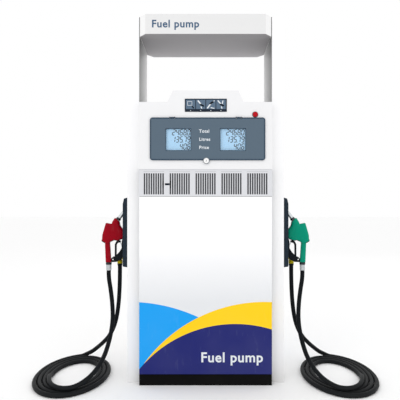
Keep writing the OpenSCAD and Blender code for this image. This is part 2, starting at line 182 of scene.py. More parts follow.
def grain_group() -> bpy.types.NodeTree:
    """Fine surface grain: two sizes of noise as one height."""
    tree, g = new_group("surface_grain", {"Scale": 900.0}, {"Height": "NodeSocketFloat"})
    given = tree.nodes.new("NodeGroupInput")
    where = g.add("TexCoord").outputs["Object"]
    fine = g.add("TexNoise", Vector=where, Scale=given.outputs["Scale"], Detail=3.0)
    broad_scale = g.math("MULTIPLY", given.outputs["Scale"], 0.12)
    broad = g.add("TexNoise", Vector=where, Scale=broad_scale, Detail=2.0)
    height = g.math("MULTIPLY_ADD", broad.outputs["Fac"], 0.5, fine.outputs["Fac"])
    tree.links.new(height, tree.nodes.new("NodeGroupOutput").inputs["Height"])
    return tree


def wear_group() -> bpy.types.NodeTree:
    """Slow tone drift, small scuffs, and dust that gathers near the ground, as three masks."""
    tree, g = new_group(
        "wear_masks",
        {"Drift Scale": 3.0, "Scuff Scale": 45.0, "Dust Height": 0.25},
        {"Drift": "NodeSocketFloat", "Scuff": "NodeSocketFloat", "Dust": "NodeSocketFloat"},
    )
    given = tree.nodes.new("NodeGroupInput")
    where = g.add("TexCoord").outputs["Object"]
    height = g.add("SeparateXYZ", Vector=where).outputs[2]
    drift = g.add("TexNoise", Vector=where, Scale=given.outputs["Drift Scale"], Detail=3.0)
    streak = g.add("Mapping", Vector=where, Scale=(1.0, 1.0, 0.25))
    scuff = g.add("TexNoise", Vector=streak.outputs[0], Scale=given.outputs["Scuff Scale"], Detail=6.0)
    sharp = g.add("MapRange", Value=scuff.outputs["Fac"], From_Min=0.62, From_Max=0.74)
    low = g.math("DIVIDE", height, given.outputs["Dust Height"])
    near = g.math("SUBTRACT", 1.0, low)
    near.node.use_clamp = True
    patchy = g.math("MULTIPLY", near, g.math("MULTIPLY", near, drift.outputs["Fac"]))
    out = tree.nodes.new("NodeGroupOutput")
    tree.links.new(drift.outputs["Fac"], out.inputs["Drift"])
    tree.links.new(sharp.outputs[0], out.inputs["Scuff"])
    tree.links.new(patchy, out.inputs["Dust"])
    return tree


GRAIN = grain_group()
WEAR = wear_group()


@dataclass(frozen=True)
class Finish:
    """One finish of the dispenser: a colour, how it ages, and how it shines."""

    name: str
    colour: Colour
    second: Colour
    roughness: float = 0.4
    spread: float = 0.12
    metallic: float = 0.0
    coat: float = 0.0
    grain: float = 900.0
    bump: float = 0.05
    scuffs: float = 0.15
    dust: float = 0.3
    drift: float = 3.0
    glow: float = 0.0
    gloss: float = 0.04

    def material(self) -> bpy.types.Material:
        """Builds the material, or returns the one already built."""
        found = bpy.data.materials.get(self.name)
        if found is not None:
            return found
        material = bpy.data.materials.new(self.name)
        material.use_nodes = True
        g = Graph(material.node_tree)
        shader = material.node_tree.nodes["Principled BSDF"]
        shader.inputs["Metallic"].default_value = self.metallic
        shader.inputs["Coat Weight"].default_value = self.coat
        shader.inputs["Specular IOR Level"].default_value = self.gloss
        wear = g.add("Group", node_tree=WEAR)
        wear.inputs["Drift Scale"].default_value = self.drift
        grain = g.add("Group", node_tree=GRAIN)
        grain.inputs["Scale"].default_value = self.grain
        paint = self.paint(g)
        share = 0.6 if isinstance(paint, tuple) else 0.05
        toned = g.mix(g.math("MULTIPLY", wear.outputs["Drift"], share), paint, self.second)
        scuffed = g.mix(g.math("MULTIPLY", wear.outputs["Scuff"], self.scuffs), toned, self.scuff_colour())
        dusty = g.mix(g.math("MULTIPLY", wear.outputs["Dust"], self.dust), scuffed, srgb(150, 146, 138))
        g.tree.links.new(dusty, shader.inputs["Base Color"])
        rough = g.math("MULTIPLY_ADD", wear.outputs["Drift"], self.spread, self.roughness - self.spread / 2)
        g.tree.links.new(
            g.math("MULTIPLY_ADD", wear.outputs["Scuff"], self.scuffs, rough), shader.inputs["Roughness"]
        )
        bump = g.add("Bump", Height=grain.outputs["Height"], Strength=self.bump, Distance=0.0006)
        g.tree.links.new(bump.outputs["Normal"], shader.inputs["Normal"])
        if self.glow > 0:
            g.tree.links.new(dusty, shader.inputs["Emission Color"])
            shader.inputs["Emission Strength"].default_value = self.glow
        return material

    def paint(self, g: Graph) -> object:
        """The main colour: one tone, unless a finish overrides this with a pattern."""
        return self.colour

    def scuff_colour(self) -> Colour:
        """A scuff is a little greyer and lighter or darker than the paint."""
        grey = sum(self.colour) / 3
        target = grey * 0.7 if grey > 0.3 else grey * 1.8 + 0.02
        return tuple(0.5 * v + 0.5 * target for v in self.colour)


@dataclass(frozen=True)
class DoorFinish(Finish):
    """White door paint with painted shade that greys it downwards, and three sweeping printed bands at its
    foot.
    """

    face: Face = Face.FRONT

    def disc(self, g: Graph, x: object, z: object, centre: tuple[float, float], radius: float) -> object:
        """Mask of a disc that is drawn on the door.

        Args:
            g: the graph to add to.
            x: distance across the door.
            z: height.
            centre: the disc's centre across and up.
            radius: the disc's radius.

        Returns:
            A socket that is 1 inside the disc.
        """
        across = g.math("SUBTRACT", x, centre[0])
        up = g.math("SUBTRACT", z, centre[1])
        square = g.math("ADD", g.math("MULTIPLY", across, across), g.math("MULTIPLY", up, up))
        return g.math("LESS_THAN", g.math("SQRT", square), radius)

    def paint(self, g: Graph) -> object:
        """White to pale grey as painted shade towards the foot, then cyan, yellow and navy bands over each
        other.
        """
        x, _, z = g.place()
        across = g.math("MULTIPLY", x, float(self.face.value))
        # Painted shade: the white greys to pale grey from 0.85 m down to 0.5 m.
        painted_shade_fade = g.add("MapRange", Value=z, From_Min=0.85, From_Max=0.5).outputs[0]
        paint = g.mix(painted_shade_fade, self.colour, srgb(226, 228, 231))
        bands = (
            ((-0.463, -0.496), 1.0, srgb(0, 158, 240)),
            ((0.356, -0.392), 0.896, srgb(254, 208, 0)),
            ((0.179, -0.379), 0.75, srgb(8, 20, 106)),
        )
        for centre, radius, hue in bands:
            paint = g.mix(self.disc(g, across, z, centre, radius), paint, hue)
        return paint


@dataclass(frozen=True)
class DisplayFinish(Finish):
    """Slate overlay with a darker printed border."""

    face: Face = Face.FRONT
    edge: Colour = srgb(58, 74, 90)
    border: float = 0.008

    def paint(self, g: Graph) -> object:
        """Slate, darker within the border's width of the outer edge."""
        x, _, z = g.place()
        low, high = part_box("display_door_front")
        middle = (low.x + high.x) / 2
        top = high.z - 0.0032
        bottom = top - 0.257
        across = g.math(
            "ABSOLUTE", g.math("SUBTRACT", g.math("MULTIPLY", x, float(self.face.value)), middle),
        )
        up = g.math("ABSOLUTE", g.math("SUBTRACT", z, (top + bottom) / 2))
        over_x = g.math("SUBTRACT", across, (high.x - low.x) / 2 - self.border)
        over_z = g.math("SUBTRACT", up, (top - bottom) / 2 - self.border)
        edge = g.math("GREATER_THAN", g.math("MAXIMUM", over_x, over_z), 0.0)
        return g.mix(edge, self.colour, self.edge)


@dataclass(frozen=True)
class HeaderFinish(Finish):
    """Pale grey paint, with painted light making the chamfered corners a tone lighter."""

    chamfer_x: float = 0.3635

    def paint(self, g: Graph) -> object:
        """Painted light: the lighter second tone on the chamfered faces, outside the flat front and rear
        faces.
        """
        chamfer = g.math("GREATER_THAN", g.math("ABSOLUTE", g.place()[0]), self.chamfer_x)
        return g.mix(chamfer, self.colour, self.second)


@dataclass(frozen=True)
class SoffitFinish(Finish):
    """Painted shade under the header: grey that lightens from the front edge to the rear."""

    def paint(self, g: Graph) -> object:
        """Painted shade, darker at the front and lighter at the rear."""
        low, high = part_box("header_soffit")
        along = g.add("MapRange", Value=g.place()[1], From_Min=low.y, From_Max=high.y)
        return g.mix(along.outputs[0], self.colour, self.second)


@dataclass(frozen=True)
class ColumnFinish(Finish):
    """White column paint with painted shade: the sheltered inner face falls into soft grey between head and
    header.
    """

    def paint(self, g: Graph) -> object:
        """White outside; painted shade greys the inner face, darkest under the header and at the front
        edge.
        """
        x, y, z = g.place()
        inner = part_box("side_column_right")[0].x + 0.003
        sheltered = g.math("LESS_THAN", g.math("ABSOLUTE", x), inner)
        head_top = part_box("head_shell")[1].z
        rise = g.add("MapRange", Value=z, From_Min=head_top - 0.1, From_Max=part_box("header_shell")[0].z)
        edge = g.add("MapRange", Value=y, From_Min=0.197, From_Max=-0.197)
        # Painted shade: more grey higher up under the header and towards the front edge of the inner face.
        depth = g.math("MULTIPLY_ADD", rise.outputs[0], 0.18, g.math("MULTIPLY", edge.outputs[0], 0.78))
        shade = g.mix(depth, srgb(240, 240, 240), srgb(96, 96, 96))
        return g.mix(sheltered, self.colour, shade)


WHITE = srgb(247, 247, 248)
# The header's lighter second tone is painted light on its chamfered corners, and also the other end of its
# tone drift.
HEADER = HeaderFinish(
    "header_pale_grey", srgb(227, 227, 227), srgb(241, 241, 241), 0.42, dust=0.0, scuffs=0.03,
)
CASING = Finish("casing_pale_grey", srgb(237, 237, 238), srgb(234, 234, 236), 0.4, dust=0.0, scuffs=0.04)
COLUMN = ColumnFinish("column_white", WHITE, srgb(240, 240, 240), 0.4, dust=0.5, scuffs=0.05)
VENT = Finish("vent_pale_grey", srgb(218, 219, 223), srgb(213, 214, 218), 0.42, dust=0.0, scuffs=0.05)
# The soffit's greys are painted shade under the header, darkest at its front edge.
SOFFIT_PAINTED_SHADE = SoffitFinish("soffit_shaded_grey", srgb(150, 148, 150), srgb(179, 177, 179), 0.5, dust=0.0)
PLINTH = Finish(
    "plinth_satin_black", srgb(4, 4, 5), srgb(10, 10, 11), 0.6, grain=500.0, bump=0.15, dust=0.03,
    scuffs=0.2,
)
BOOT = Finish(
    "boot_slate", srgb(42, 52, 62), srgb(34, 43, 52), 0.5, grain=700.0, bump=0.2, dust=0.0, scuffs=0.2,
)
RUBBER = Finish(
    "hose_black_cover", srgb(24, 27, 30), srgb(17, 19, 22), 0.45, 0.2, grain=1400.0, bump=0.25, dust=0.05,
)
YELLOW = Finish(
    "collar_yellow", srgb(196, 180, 24), srgb(168, 150, 22), 0.38, metallic=0.3, dust=0.0, scuffs=0.3,
)
CHROME = Finish(
    "bright_metal", srgb(205, 208, 210), srgb(180, 184, 188), 0.22, metallic=0.9, dust=0.0, scuffs=0.2,
)
DARK_CHROME = Finish(
    "dark_metal", srgb(70, 74, 78), srgb(50, 54, 58), 0.25, metallic=0.85, dust=0.0, scuffs=0.2,
)
ALLOY_BRIGHT = Finish(
    "spout_bright_alloy", srgb(214, 218, 220), srgb(190, 195, 198), 0.3, metallic=0.85, dust=0.0,
    scuffs=0.2,
)
NOZZLE_RED = Finish(
    "sleeve_red", srgb(158, 0, 24), srgb(128, 0, 18), 0.38, coat=0.08, grain=600.0, bump=0.12, dust=0.0,
)
NOZZLE_GREEN = Finish(
    "sleeve_green", srgb(0, 152, 122), srgb(0, 124, 98), 0.38, coat=0.08, grain=600.0, bump=0.12,
    dust=0.0,
)
NYLON = Finish(
    "black_nylon", srgb(26, 30, 34), srgb(18, 21, 24), 0.5, grain=800.0, bump=0.2, dust=0.0, scuffs=0.25,
)
LCD = Finish("lcd_blue", srgb(176, 216, 244), srgb(150, 198, 234), 0.5, drift=4.0, dust=0.0, scuffs=0.0)
INK = Finish("digit_ink", srgb(20, 36, 56), srgb(26, 44, 66), 0.5, dust=0.0, scuffs=0.0)
HINGE = Finish("hinge_slate", srgb(56, 70, 84), srgb(48, 60, 74), 0.4, metallic=0.2, dust=0.0)
PRINT_WHITE = Finish("print_white", srgb(232, 236, 240), srgb(214, 220, 226), 0.45, dust=0.0, scuffs=0.05)
PRINT_SLATE = Finish("print_slate", srgb(76, 102, 130), srgb(66, 92, 120), 0.45, dust=0.0, scuffs=0.05)
PRINT_BLACK = Finish("print_black", srgb(14, 16, 20), srgb(24, 26, 30), 0.45, dust=0.0, scuffs=0.05)
PLATE = Finish("plate_navy", srgb(30, 40, 54), srgb(24, 32, 44), 0.4, coat=0.2, dust=0.0, scuffs=0.1)
CELL = Finish("plate_cell", srgb(94, 114, 134), srgb(84, 104, 124), 0.4, coat=0.2, dust=0.0, scuffs=0.05)
COUNTER = Finish("counter_satin_black", srgb(12, 12, 14), srgb(20, 20, 24), 0.3, dust=0.0)
BUTTON = Finish("button_gloss_red", srgb(186, 20, 32), srgb(158, 10, 20), 0.35, coat=0.1, dust=0.0)
LOCK = Finish("lock_gloss_white", srgb(246, 246, 246), srgb(232, 232, 232), 0.3, coat=0.3, dust=0.0)
# Grey of the beads over the louvre groups, where it is painted shade, and of the band's top lip.
BEAD = Finish("bead_grey", srgb(196, 197, 201), srgb(190, 191, 195), 0.45, dust=0.0, scuffs=0.05)
# Mid-grey painted shade: the louvre vanes seen through the slots and the ring round the stop button.
SHADE_GREY = Finish("painted_shade_grey", srgb(98, 99, 103), srgb(88, 89, 93), 0.5, dust=0.0)
STEEL = Finish(
    "galvanised_steel", srgb(170, 174, 178), srgb(140, 146, 150), 0.42, metallic=0.85, drift=20.0,
    dust=0.2,
)
IRON = Finish(
    "painted_iron", srgb(92, 100, 108), srgb(76, 84, 92), 0.5, grain=350.0, bump=0.4, dust=0.3,
    scuffs=0.3,
)
MOTOR = Finish(
    "motor_enamel", srgb(86, 104, 124), srgb(70, 86, 104), 0.4, grain=350.0, bump=0.35, dust=0.3,
    scuffs=0.3,
)
ALLOY = Finish(
    "cast_alloy", srgb(186, 188, 190), srgb(160, 163, 166), 0.45, metallic=0.8, grain=500.0, bump=0.3,
    dust=0.1,
)
BRASS = Finish("turned_brass", srgb(196, 160, 84), srgb(168, 132, 60), 0.35, metallic=0.9, dust=0.1)
BELT = Finish("belt_ribbed_black", srgb(30, 30, 30), srgb(22, 22, 22), 0.7, grain=500.0, bump=0.3, dust=0.2)


# ---------------------------------------------------------------- making pieces


def new_piece(
    name: str, bm: bmesh.types.BMesh, finish: Finish, body: str | None, smooth: bool = True
) -> bpy.types.Object:
    """Turns a bmesh that is already in place into a finished piece that rides on a body.

    Args:
        name: the piece's name.
        bm: its shape, in the row frame. It is freed.
        finish: its material.
        body: the CAD body it moves with, or None for a piece that bends between two.
        smooth: whether round stretches are shaded smooth.

    Returns:
        The new object.
    """
    bmesh.ops.remove_doubles(bm, verts=bm.verts, dist=1e-6)
    bmesh.ops.recalc_face_normals(bm, faces=bm.faces)
    mesh = bpy.data.meshes.new(name)
    bm.to_mesh(mesh)
    bm.free()
    piece = bpy.data.objects.new(name, mesh)
    bpy.context.scene.collection.objects.link(piece)
    mesh.materials.append(finish.material())
    if smooth:
        mesh.polygons.foreach_set("use_smooth", [True] * len(mesh.polygons))
        mesh.set_sharp_from_angle(angle=math.radians(35))
    if body is not None:
        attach(piece, body)
    log.info("made %s", name)
    return piece


def dress(node: str, finish: Finish) -> None:
    """Gives a CAD node its finish."""
    node_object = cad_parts[node]
    node_object.data.materials.clear()
    node_object.data.materials.append(finish.material())


def softened(node: str, finish: Finish, body: str, width: float, segments: int = 2) -> bpy.types.Object:
    """Copies a CAD node with its edges rounded, and shows the copy in its place.

    Args:
        node: the CAD node.
        finish: the copy's material.
        body: the body it rides on.
        width: how wide the rounded edges are.
        segments: how many facets each edge has.

    Returns:
        The rounded piece.
    """
    bm = bmesh.new()
    bm.from_mesh(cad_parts[node].data)
    bmesh.ops.remove_doubles(bm, verts=bm.verts, dist=1e-5)
    bmesh.ops.dissolve_limit(bm, angle_limit=math.radians(0.6), verts=bm.verts, edges=bm.edges)
    mesh = bpy.data.meshes.new(node + "_finished")
    bm.to_mesh(mesh)
    bm.free()
    mesh.materials.clear()
    mesh.materials.append(finish.material())
    mesh.polygons.foreach_set("use_smooth", [True] * len(mesh.polygons))
    mesh.set_sharp_from_angle(angle=math.radians(30))
    piece = bpy.data.objects.new(node + "_finished", mesh)
    bpy.context.scene.collection.objects.link(piece)
    bevel = piece.modifiers.new("rounded_edges", "BEVEL")
    bevel.width = width
    bevel.segments = segments
    bevel.limit_method = "ANGLE"
    bevel.angle_limit = math.radians(30)
    bevel.harden_normals = True
    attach(piece, body)
    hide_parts(node)
    return piece


def add_box(bm: bmesh.types.BMesh, low: tuple, high: tuple, round_by: float = 0.0) -> None:
    """Adds a box between two corners to a bmesh, with its edges rounded if asked."""
    size = [h - l for l, h in zip(low, high)]
    middle = [(h + l) / 2 for l, h in zip(low, high)]
    made = bmesh.ops.create_cube(bm, size=1.0, matrix=Matrix.LocRotScale(middle, None, size))
    if round_by > 0:
        edges = list({e for v in made["verts"] for e in v.link_edges})
        bmesh.ops.bevel(
            bm, geom=edges, offset=round_by, segments=2, profile=0.5, affect="EDGES",
            clamp_overlap=True, material=-1,
        )


def add_prism(bm: bmesh.types.BMesh, outline: list, y0: float, y1: float, round_by: float = 0.0) -> None:
    """Adds an outline drawn in X and Z, drawn out from y0 to y1, with its rims rounded if asked."""
    face = bm.faces.new([bm.verts.new((x, y0, z)) for x, z in outline])
    grown = bmesh.ops.extrude_face_region(bm, geom=[face], use_keep_orig=True)
    moved = [v for v in grown["geom"] if isinstance(v, bmesh.types.BMVert)]
    bmesh.ops.translate(bm, verts=moved, vec=(0, y1 - y0, 0))
    if round_by > 0:
        far = [e for e in grown["geom"] if isinstance(e, bmesh.types.BMEdge)]
        bmesh.ops.bevel(
            bm, geom=list(face.edges) + far, offset=round_by, segments=3, profile=0.5, affect="EDGES",
            clamp_overlap=True, material=-1,
        )


def add_turned(bm: bmesh.types.BMesh, profile: list, matrix: Matrix, steps: int = 40) -> None:
    """Adds a turned shape: a profile of (radius, height) pairs spun about Z, then placed by a matrix."""
    before = set(bm.verts)
    verts = [bm.verts.new((r, 0, h)) for r, h in profile]
    edges = [bm.edges.new(pair) for pair in zip(verts, verts[1:])]
    bmesh.ops.spin(
        bm, geom=verts + edges, cent=(0, 0, 0), axis=(0, 0, 1), angle=math.tau, steps=steps, use_merge=True
    )
    fresh = [v for v in bm.verts if v not in before]
    bmesh.ops.transform(bm, matrix=matrix, verts=fresh)
    bmesh.ops.remove_doubles(bm, verts=fresh, dist=1e-6)


def axis_matrix(at: tuple, direction: tuple) -> Matrix:
    """Matrix that takes +Z from the origin to a direction from a point."""
    turn = Vector((0, 0, 1)).rotation_difference(Vector(direction)).to_matrix().to_4x4()
    return Matrix.Translation(at) @ turn


def lettering(
    name: str, word: str, size: float, matrix: Matrix, finish: Finish, body: str,
) -> bpy.types.Object:
    """Makes a plain word as a thin raised print.

    Args:
        name: the piece's name.
        word: what it says.
        size: the letters' height measure.
        matrix: places the word, which is drawn in X and Z and stands out towards -Y.
        finish: its material.
        body: the body it rides on.

    Returns:
        The new piece.
    """
    curve = bpy.data.curves.new(name, "FONT")
    curve.body = word
    curve.size = size
    curve.offset = size * 0.022
    curve.space_character = 1.08
    curve.extrude = 0.0002
    curve.resolution_u = 4
    source = bpy.data.objects.new(name + "_curve", curve)
    bpy.context.scene.collection.objects.link(source)
    bpy.context.view_layer.update()
    mesh = bpy.data.meshes.new_from_object(source.evaluated_get(bpy.context.evaluated_depsgraph_get()))
    bpy.data.objects.remove(source)
    bm = bmesh.new()
    bm.from_mesh(mesh)
    bmesh.ops.transform(bm, matrix=matrix @ Matrix.Rotation(math.pi / 2, 4, "X"), verts=bm.verts)
    return new_piece(name, bm, finish, body, smooth=False)


# ---------------------------------------------------------------- camera, light, floor


@dataclass
class Studio:
    """The camera and a plain white studio."""

    distance: float = 3.296
    height: float = 1.118
    lens: float = 45.5
    shift: float = -0.0139
    floor_size: float = 60.0

    def camera(self) -> None:
        """Level camera straight in front."""
        data = bpy.data.cameras.new("camera")
        data.lens = self.lens
        data.sensor_width = 36
        data.shift_x = self.shift
        camera = bpy.data.objects.new("camera", data)
        camera.matrix_world = Matrix.LocRotScale(
            (0, -self.distance, self.height), Matrix.Rotation(math.pi / 2, 3, "X").to_quaternion(), None
        )
        bpy.context.scene.collection.objects.link(camera)
        bpy.context.scene.camera = camera

    def lamp(self, name: str, at: tuple, aim: tuple, size: float, power: float) -> None:
        """Adds one soft square lamp that points at a place."""
        data = bpy.data.lights.new(name, "AREA")
        data.size = size
        data.energy = power
        lamp = bpy.data.objects.new(name, data)
        turn = Vector((0, 0, -1)).rotation_difference(Vector(aim) - Vector(at))
        lamp.matrix_world = Matrix.LocRotScale(at, turn, None)
        bpy.context.scene.collection.objects.link(lamp)

    def light(self) -> None:
        """A bright white room with soft lamps in front and above."""
        world = bpy.data.worlds.new("studio")
        bpy.context.scene.world = world
        world.use_nodes = True
        world.node_tree.nodes["Background"].inputs["Color"].default_value = (1, 1, 1, 1)
        world.node_tree.nodes["Background"].inputs["Strength"].default_value = 1.0
        self.lamp("key", (-3.2, -5.0, 4.2), (0, 0, 1.0), 3.0, 34)
        self.lamp("fill", (3.6, -4.6, 2.6), (0, 0, 1.0), 3.0, 14)
        self.lamp("back", (1.5, 5.5, 4.5), (0, 0, 1.2), 4.0, 20)
        bpy.context.scene.view_settings.view_transform = "Standard"

    def floor(self) -> None:
        """White floor."""
        bm = bmesh.new()
        bmesh.ops.create_grid(bm, x_segments=1, y_segments=1, size=self.floor_size / 2)
        mesh = bpy.data.meshes.new("floor")
        bm.to_mesh(mesh)
        bm.free()
        floor = bpy.data.objects.new("floor", mesh)
        bpy.context.scene.collection.objects.link(floor)
        material = bpy.data.materials.new("floor_white")
        material.use_nodes = True
        shader = material.node_tree.nodes["Principled BSDF"]
        shader.inputs["Base Color"].default_value = (0.97, 0.97, 0.97, 1)
        shader.inputs["Roughness"].default_value = 0.9
        mesh.materials.append(material)


# ---------------------------------------------------------------- hoses


@dataclass
class Hose:
    """One delivery hose: down from its outlet, round its coil on the floor, and up to the nozzle."""

    side: Side
    diameter: float = 0.028
    coil_centre: tuple[float, float] = (0.8335, -0.088)
    coil_half: tuple[float, float] = (0.231, 0.375)
    turn_step: tuple[float, float] = (0.0286, 0.04)
    coil_from: float = 105.0
    coil_to: float = 1260.0
    points_per_turn: int = 40
    above_outlet: tuple[float, float, float] = (0.568, 0.058, 0.76)
    above_swivel: tuple[float, float, float] = (0.631, 0.0, 0.72)
    outlet_route: tuple = (
        (0.568, 0.058, 0.699), (0.568, 0.058, 0.640), (0.570, 0.059, 0.550), (0.576, 0.062, 0.450),
        (0.590, 0.071, 0.350), (0.614, 0.088, 0.270), (0.652, 0.112, 0.200), (0.703, 0.165, 0.142),
        (0.753, 0.226, 0.092), (0.798, 0.262, 0.054), (0.840, 0.280, 0.030), (0.868, 0.278, 0.018),
    )
    nozzle_route: tuple = (
        (0.9727, -0.088, 0.014), (0.970, -0.140, 0.022), (0.958, -0.200, 0.038), (0.940, -0.262, 0.043),
        (0.915, -0.322, 0.043), (0.882, -0.370, 0.043), (0.842, -0.402, 0.043), (0.800, -0.410, 0.043),
        (0.760, -0.396, 0.045), (0.722, -0.352, 0.052), (0.685, -0.290, 0.070), (0.655, -0.215, 0.100),
        (0.630, -0.150, 0.150), (0.616, -0.085, 0.210), (0.608, -0.035, 0.275), (0.604, -0.008, 0.350),
        (0.608, 0.0, 0.440), (0.618, 0.0, 0.530), (0.628, 0.0, 0.595), (0.631, 0.0, 0.635),
        (0.631, 0.0, 0.661),
    )

    def coil(self) -> list[Vector]:
        """Centreline of the turns that lie side by side on the floor, from the outside in."""
        count = round(self.points_per_turn * (self.coil_to - self.coil_from) / 360)
        points = []
        for i in range(count + 1):
            degrees = self.coil_from + (self.coil_to - self.coil_from) * i / count
            turns = (degrees - self.coil_from) / 360
            angle = math.radians(degrees)
            x = self.coil_centre[0] - (self.coil_half[0] - self.turn_step[0] * turns) * math.cos(angle)
            y = self.coil_centre[1] + (self.coil_half[1] - self.turn_step[1] * turns) * math.sin(angle)
            points.append(Vector((x, y, self.diameter / 2)))
        return points

    def smooth(self, points: list[Vector], before: Vector, after: Vector, steps: int = 5) -> list[Vector]:
        """Runs a smooth curve through points.

        Args:
            points: the route.
            before: a point that sets the direction at the start.
            after: a point that sets the direction at the end.
            steps: pieces between two points.

        Returns:
            Closely spaced points along the curve.
        """
        chain = [before, *points, after]
        out = []
        for a, b, c, d in zip(chain, chain[1:], chain[2:], chain[3:]):
            for k in range(steps):
                t = k / steps
                square = 2 * a - 5 * b + 4 * c - d
                cube = 3 * b - a - 3 * c + d
                out.append(0.5 * (2 * b + (c - a) * t + square * t**2 + cube * t**3))
        return [*out, points[-1]]

    def tube(self, name: str, line: list[Vector]) -> bpy.types.Object:
        """Makes the rubber tube along a centreline, as a mesh."""
        curve = bpy.data.curves.new(name, "CURVE")
        curve.dimensions = "3D"
        spline = curve.splines.new("POLY")
        spline.points.add(len(line) - 1)
        for point, place in zip(spline.points, line):
            point.co = (*place, 1)
        curve.bevel_depth = self.diameter / 2
        curve.bevel_resolution = 6
        curve.use_fill_caps = True
        source = bpy.data.objects.new(name + "_curve", curve)
        bpy.context.scene.collection.objects.link(source)
        bpy.context.view_layer.update()
        mesh = bpy.data.meshes.new_from_object(source.evaluated_get(bpy.context.evaluated_depsgraph_get()))
        bpy.data.objects.remove(source)
        bm = bmesh.new()
        bm.from_mesh(mesh)
        return new_piece(name, bm, RUBBER, None)

    def length(self, line: list[Vector]) -> float:
        """Length of a centreline."""
        return sum((b - a).length for a, b in zip(line, line[1:]))

    def build(self) -> None:
        sign = self.side.value
        label = self.side.label

        def placed(line: list) -> list[Vector]:
            """Puts right-hand points on this side."""
            return [Vector((sign * p[0], p[1], p[2])) for p in line]

        coil = placed(self.coil())
        down = self.smooth(
            [*placed(self.outlet_route), coil[0]], placed([self.above_outlet])[0], coil[1]
        )
        lower = [*down[:-1], *coil]
        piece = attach(self.tube(f"hose_lower_{label}", lower), ROOT)
        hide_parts(f"hose_outlet_run_{label}", f"hose_coil_{label}")
        upper = self.smooth(placed(self.nozzle_route), coil[-2], placed([self.above_swivel])[0])
        piece = self.tube(f"hose_upper_{label}", upper)
        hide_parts(f"hose_nozzle_run_{label}")
        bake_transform(piece)
        log.info("hose %s is %.2f m long", label, self.length(lower) + self.length(upper))


# ---------------------------------------------------------------- cabinet


@dataclass
class Casing:
    """Plinth, columns, head, header and vent bands of the cabinet."""

    edge: float = 0.0016
    fold: float = 0.0009
    groups: int = 5
    slots: int = 9
    group_step: float = 0.156
    slot_pitch: float = 0.014
    vane_size: tuple[float, float, float] = (0.0125, 0.0012, 0.13)
    vane_lean: float = 24.0
    vane_set_back: float = 0.0078
    louvre_middle: float = 1.2155

    def build(self) -> None:
        """Rounds the sheet metal's edges and adds what sits on and behind it."""
        softened("base_plinth", PLINTH, ROOT, self.edge)
        for side in Side:
            softened(f"side_column_{side.label}", COLUMN, ROOT, self.edge)
        softened("header_shell", HEADER, ROOT, self.edge)
        softened("head_shell", CASING, ROOT, self.edge)
        softened("header_soffit", SOFFIT_PAINTED_SHADE, ROOT, self.fold)
        for face in Face:
            softened(f"vent_band_{face.label}", VENT, ROOT, 0.0006, 1)
            self.vanes(face)
            self.beads(face)
            self.seams(face)

    def group_centres(self) -> list[float]:
        """Places of the louvre groups across the band."""
        return [(g - (self.groups - 1) / 2) * self.group_step for g in range(self.groups)]

    def vanes(self, face: Face) -> None:
        """Slanted vanes that close off each louvre group from behind, painted mid-grey as the shade seen
        through the slots.
        """
        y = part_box("vent_band_front")[0].y + self.vane_set_back
        lean = Matrix.Rotation(math.radians(self.vane_lean), 3, "Z").to_quaternion()
        bm = bmesh.new()
        for centre in self.group_centres():
            for s in range(self.slots):
                x = centre + (s - (self.slots - 1) / 2) * self.slot_pitch
                at = Matrix.LocRotScale((x, y, self.louvre_middle), lean, self.vane_size)
                made = bmesh.ops.create_cube(bm, size=1.0, matrix=at)
                edges = list({e for v in made["verts"] for e in v.link_edges})
                bmesh.ops.bevel(
                    bm, geom=edges, offset=0.0004, segments=1, profile=0.5, affect="EDGES", material=-1
                )
        bmesh.ops.transform(bm, matrix=face.turn, verts=bm.verts)
        piece = new_piece(f"vent_vanes_{face.label}", bm, SHADE_GREY, ROOT, smooth=False)

    def beads(self, face: Face) -> None:
        """Pressed bead above each louvre group, grey as painted shade along the group's top edge, and the
        folded lip along the band's top.
        """
        low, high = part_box("vent_band_front")
        half, thick, proud = 0.063, 0.0014, 0.0007
        z = high.z - 0.013
        bm = bmesh.new()
        for x in self.group_centres():
            add_box(bm, (x - half, low.y - proud, z - thick), (x + half, low.y + 0.0005, z + thick), 0.0004)
        lip = (low.x + 0.004, low.y - 0.0003, high.z - 0.0016)
        add_box(bm, lip, (high.x - 0.004, low.y + 0.001, high.z), 0.0002)
        bmesh.ops.transform(bm, matrix=face.turn, verts=bm.verts)
        piece = new_piece(f"vent_beads_{face.label}", bm, BEAD, ROOT, smooth=False)

    def seams(self, face: Face) -> None:
        """Thin dark seals in the gaps above and below the lower door."""
        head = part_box("head_shell")[0]
        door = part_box("lower_door_front")[1]
        bm = bmesh.new()
        for z in (door.z + 0.001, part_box("base_plinth")[1].z + 0.001):
            add_box(
                bm, (head.x + 0.004, head.y + 0.004, z - 0.0008),
                (-head.x - 0.004, head.y + 0.012, z + 0.0008), 0.0003,
            )
        bmesh.ops.transform(bm, matrix=face.turn, verts=bm.verts)
        piece = new_piece(f"gap_seals_{face.label}", bm, PRINT_BLACK, ROOT, smooth=False)


@dataclass
class Printing:
    """Plain words and marks printed on the cabinet."""

    gap: float = 0.0003

    def build(self) -> None:
        """Prints the header, the lower door and the display labels, front and rear."""
        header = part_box("header_shell")[0]
        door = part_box("lower_door_front")[0]
        for face in Face:
            at = Matrix.Translation((-0.326, header.y - self.gap, 2.159))
            piece = lettering(
                f"header_word_{face.label}", "Fuel pump", 0.0635, face.turn @ at, PRINT_SLATE, ROOT,
            )
            at = Matrix.Translation((-0.030, door.y - self.gap, 0.142))
            body = f"lower_door_{face.label}"
            piece = lettering(
                f"door_word_{face.label}", "Fuel pump", 0.083, face.turn @ at, PRINT_WHITE, body,
            )
            for row, (word, z) in enumerate((("Total", 1.523), ("Litres", 1.474), ("Price", 1.425))):
                at = Matrix.Translation((-0.039, -0.258 - self.gap, z))
                name = f"display_label_{row}_{face.label}"
                body = f"display_door_{face.label}"
                piece = lettering(name, word, 0.027, face.turn @ at, PRINT_WHITE, body)


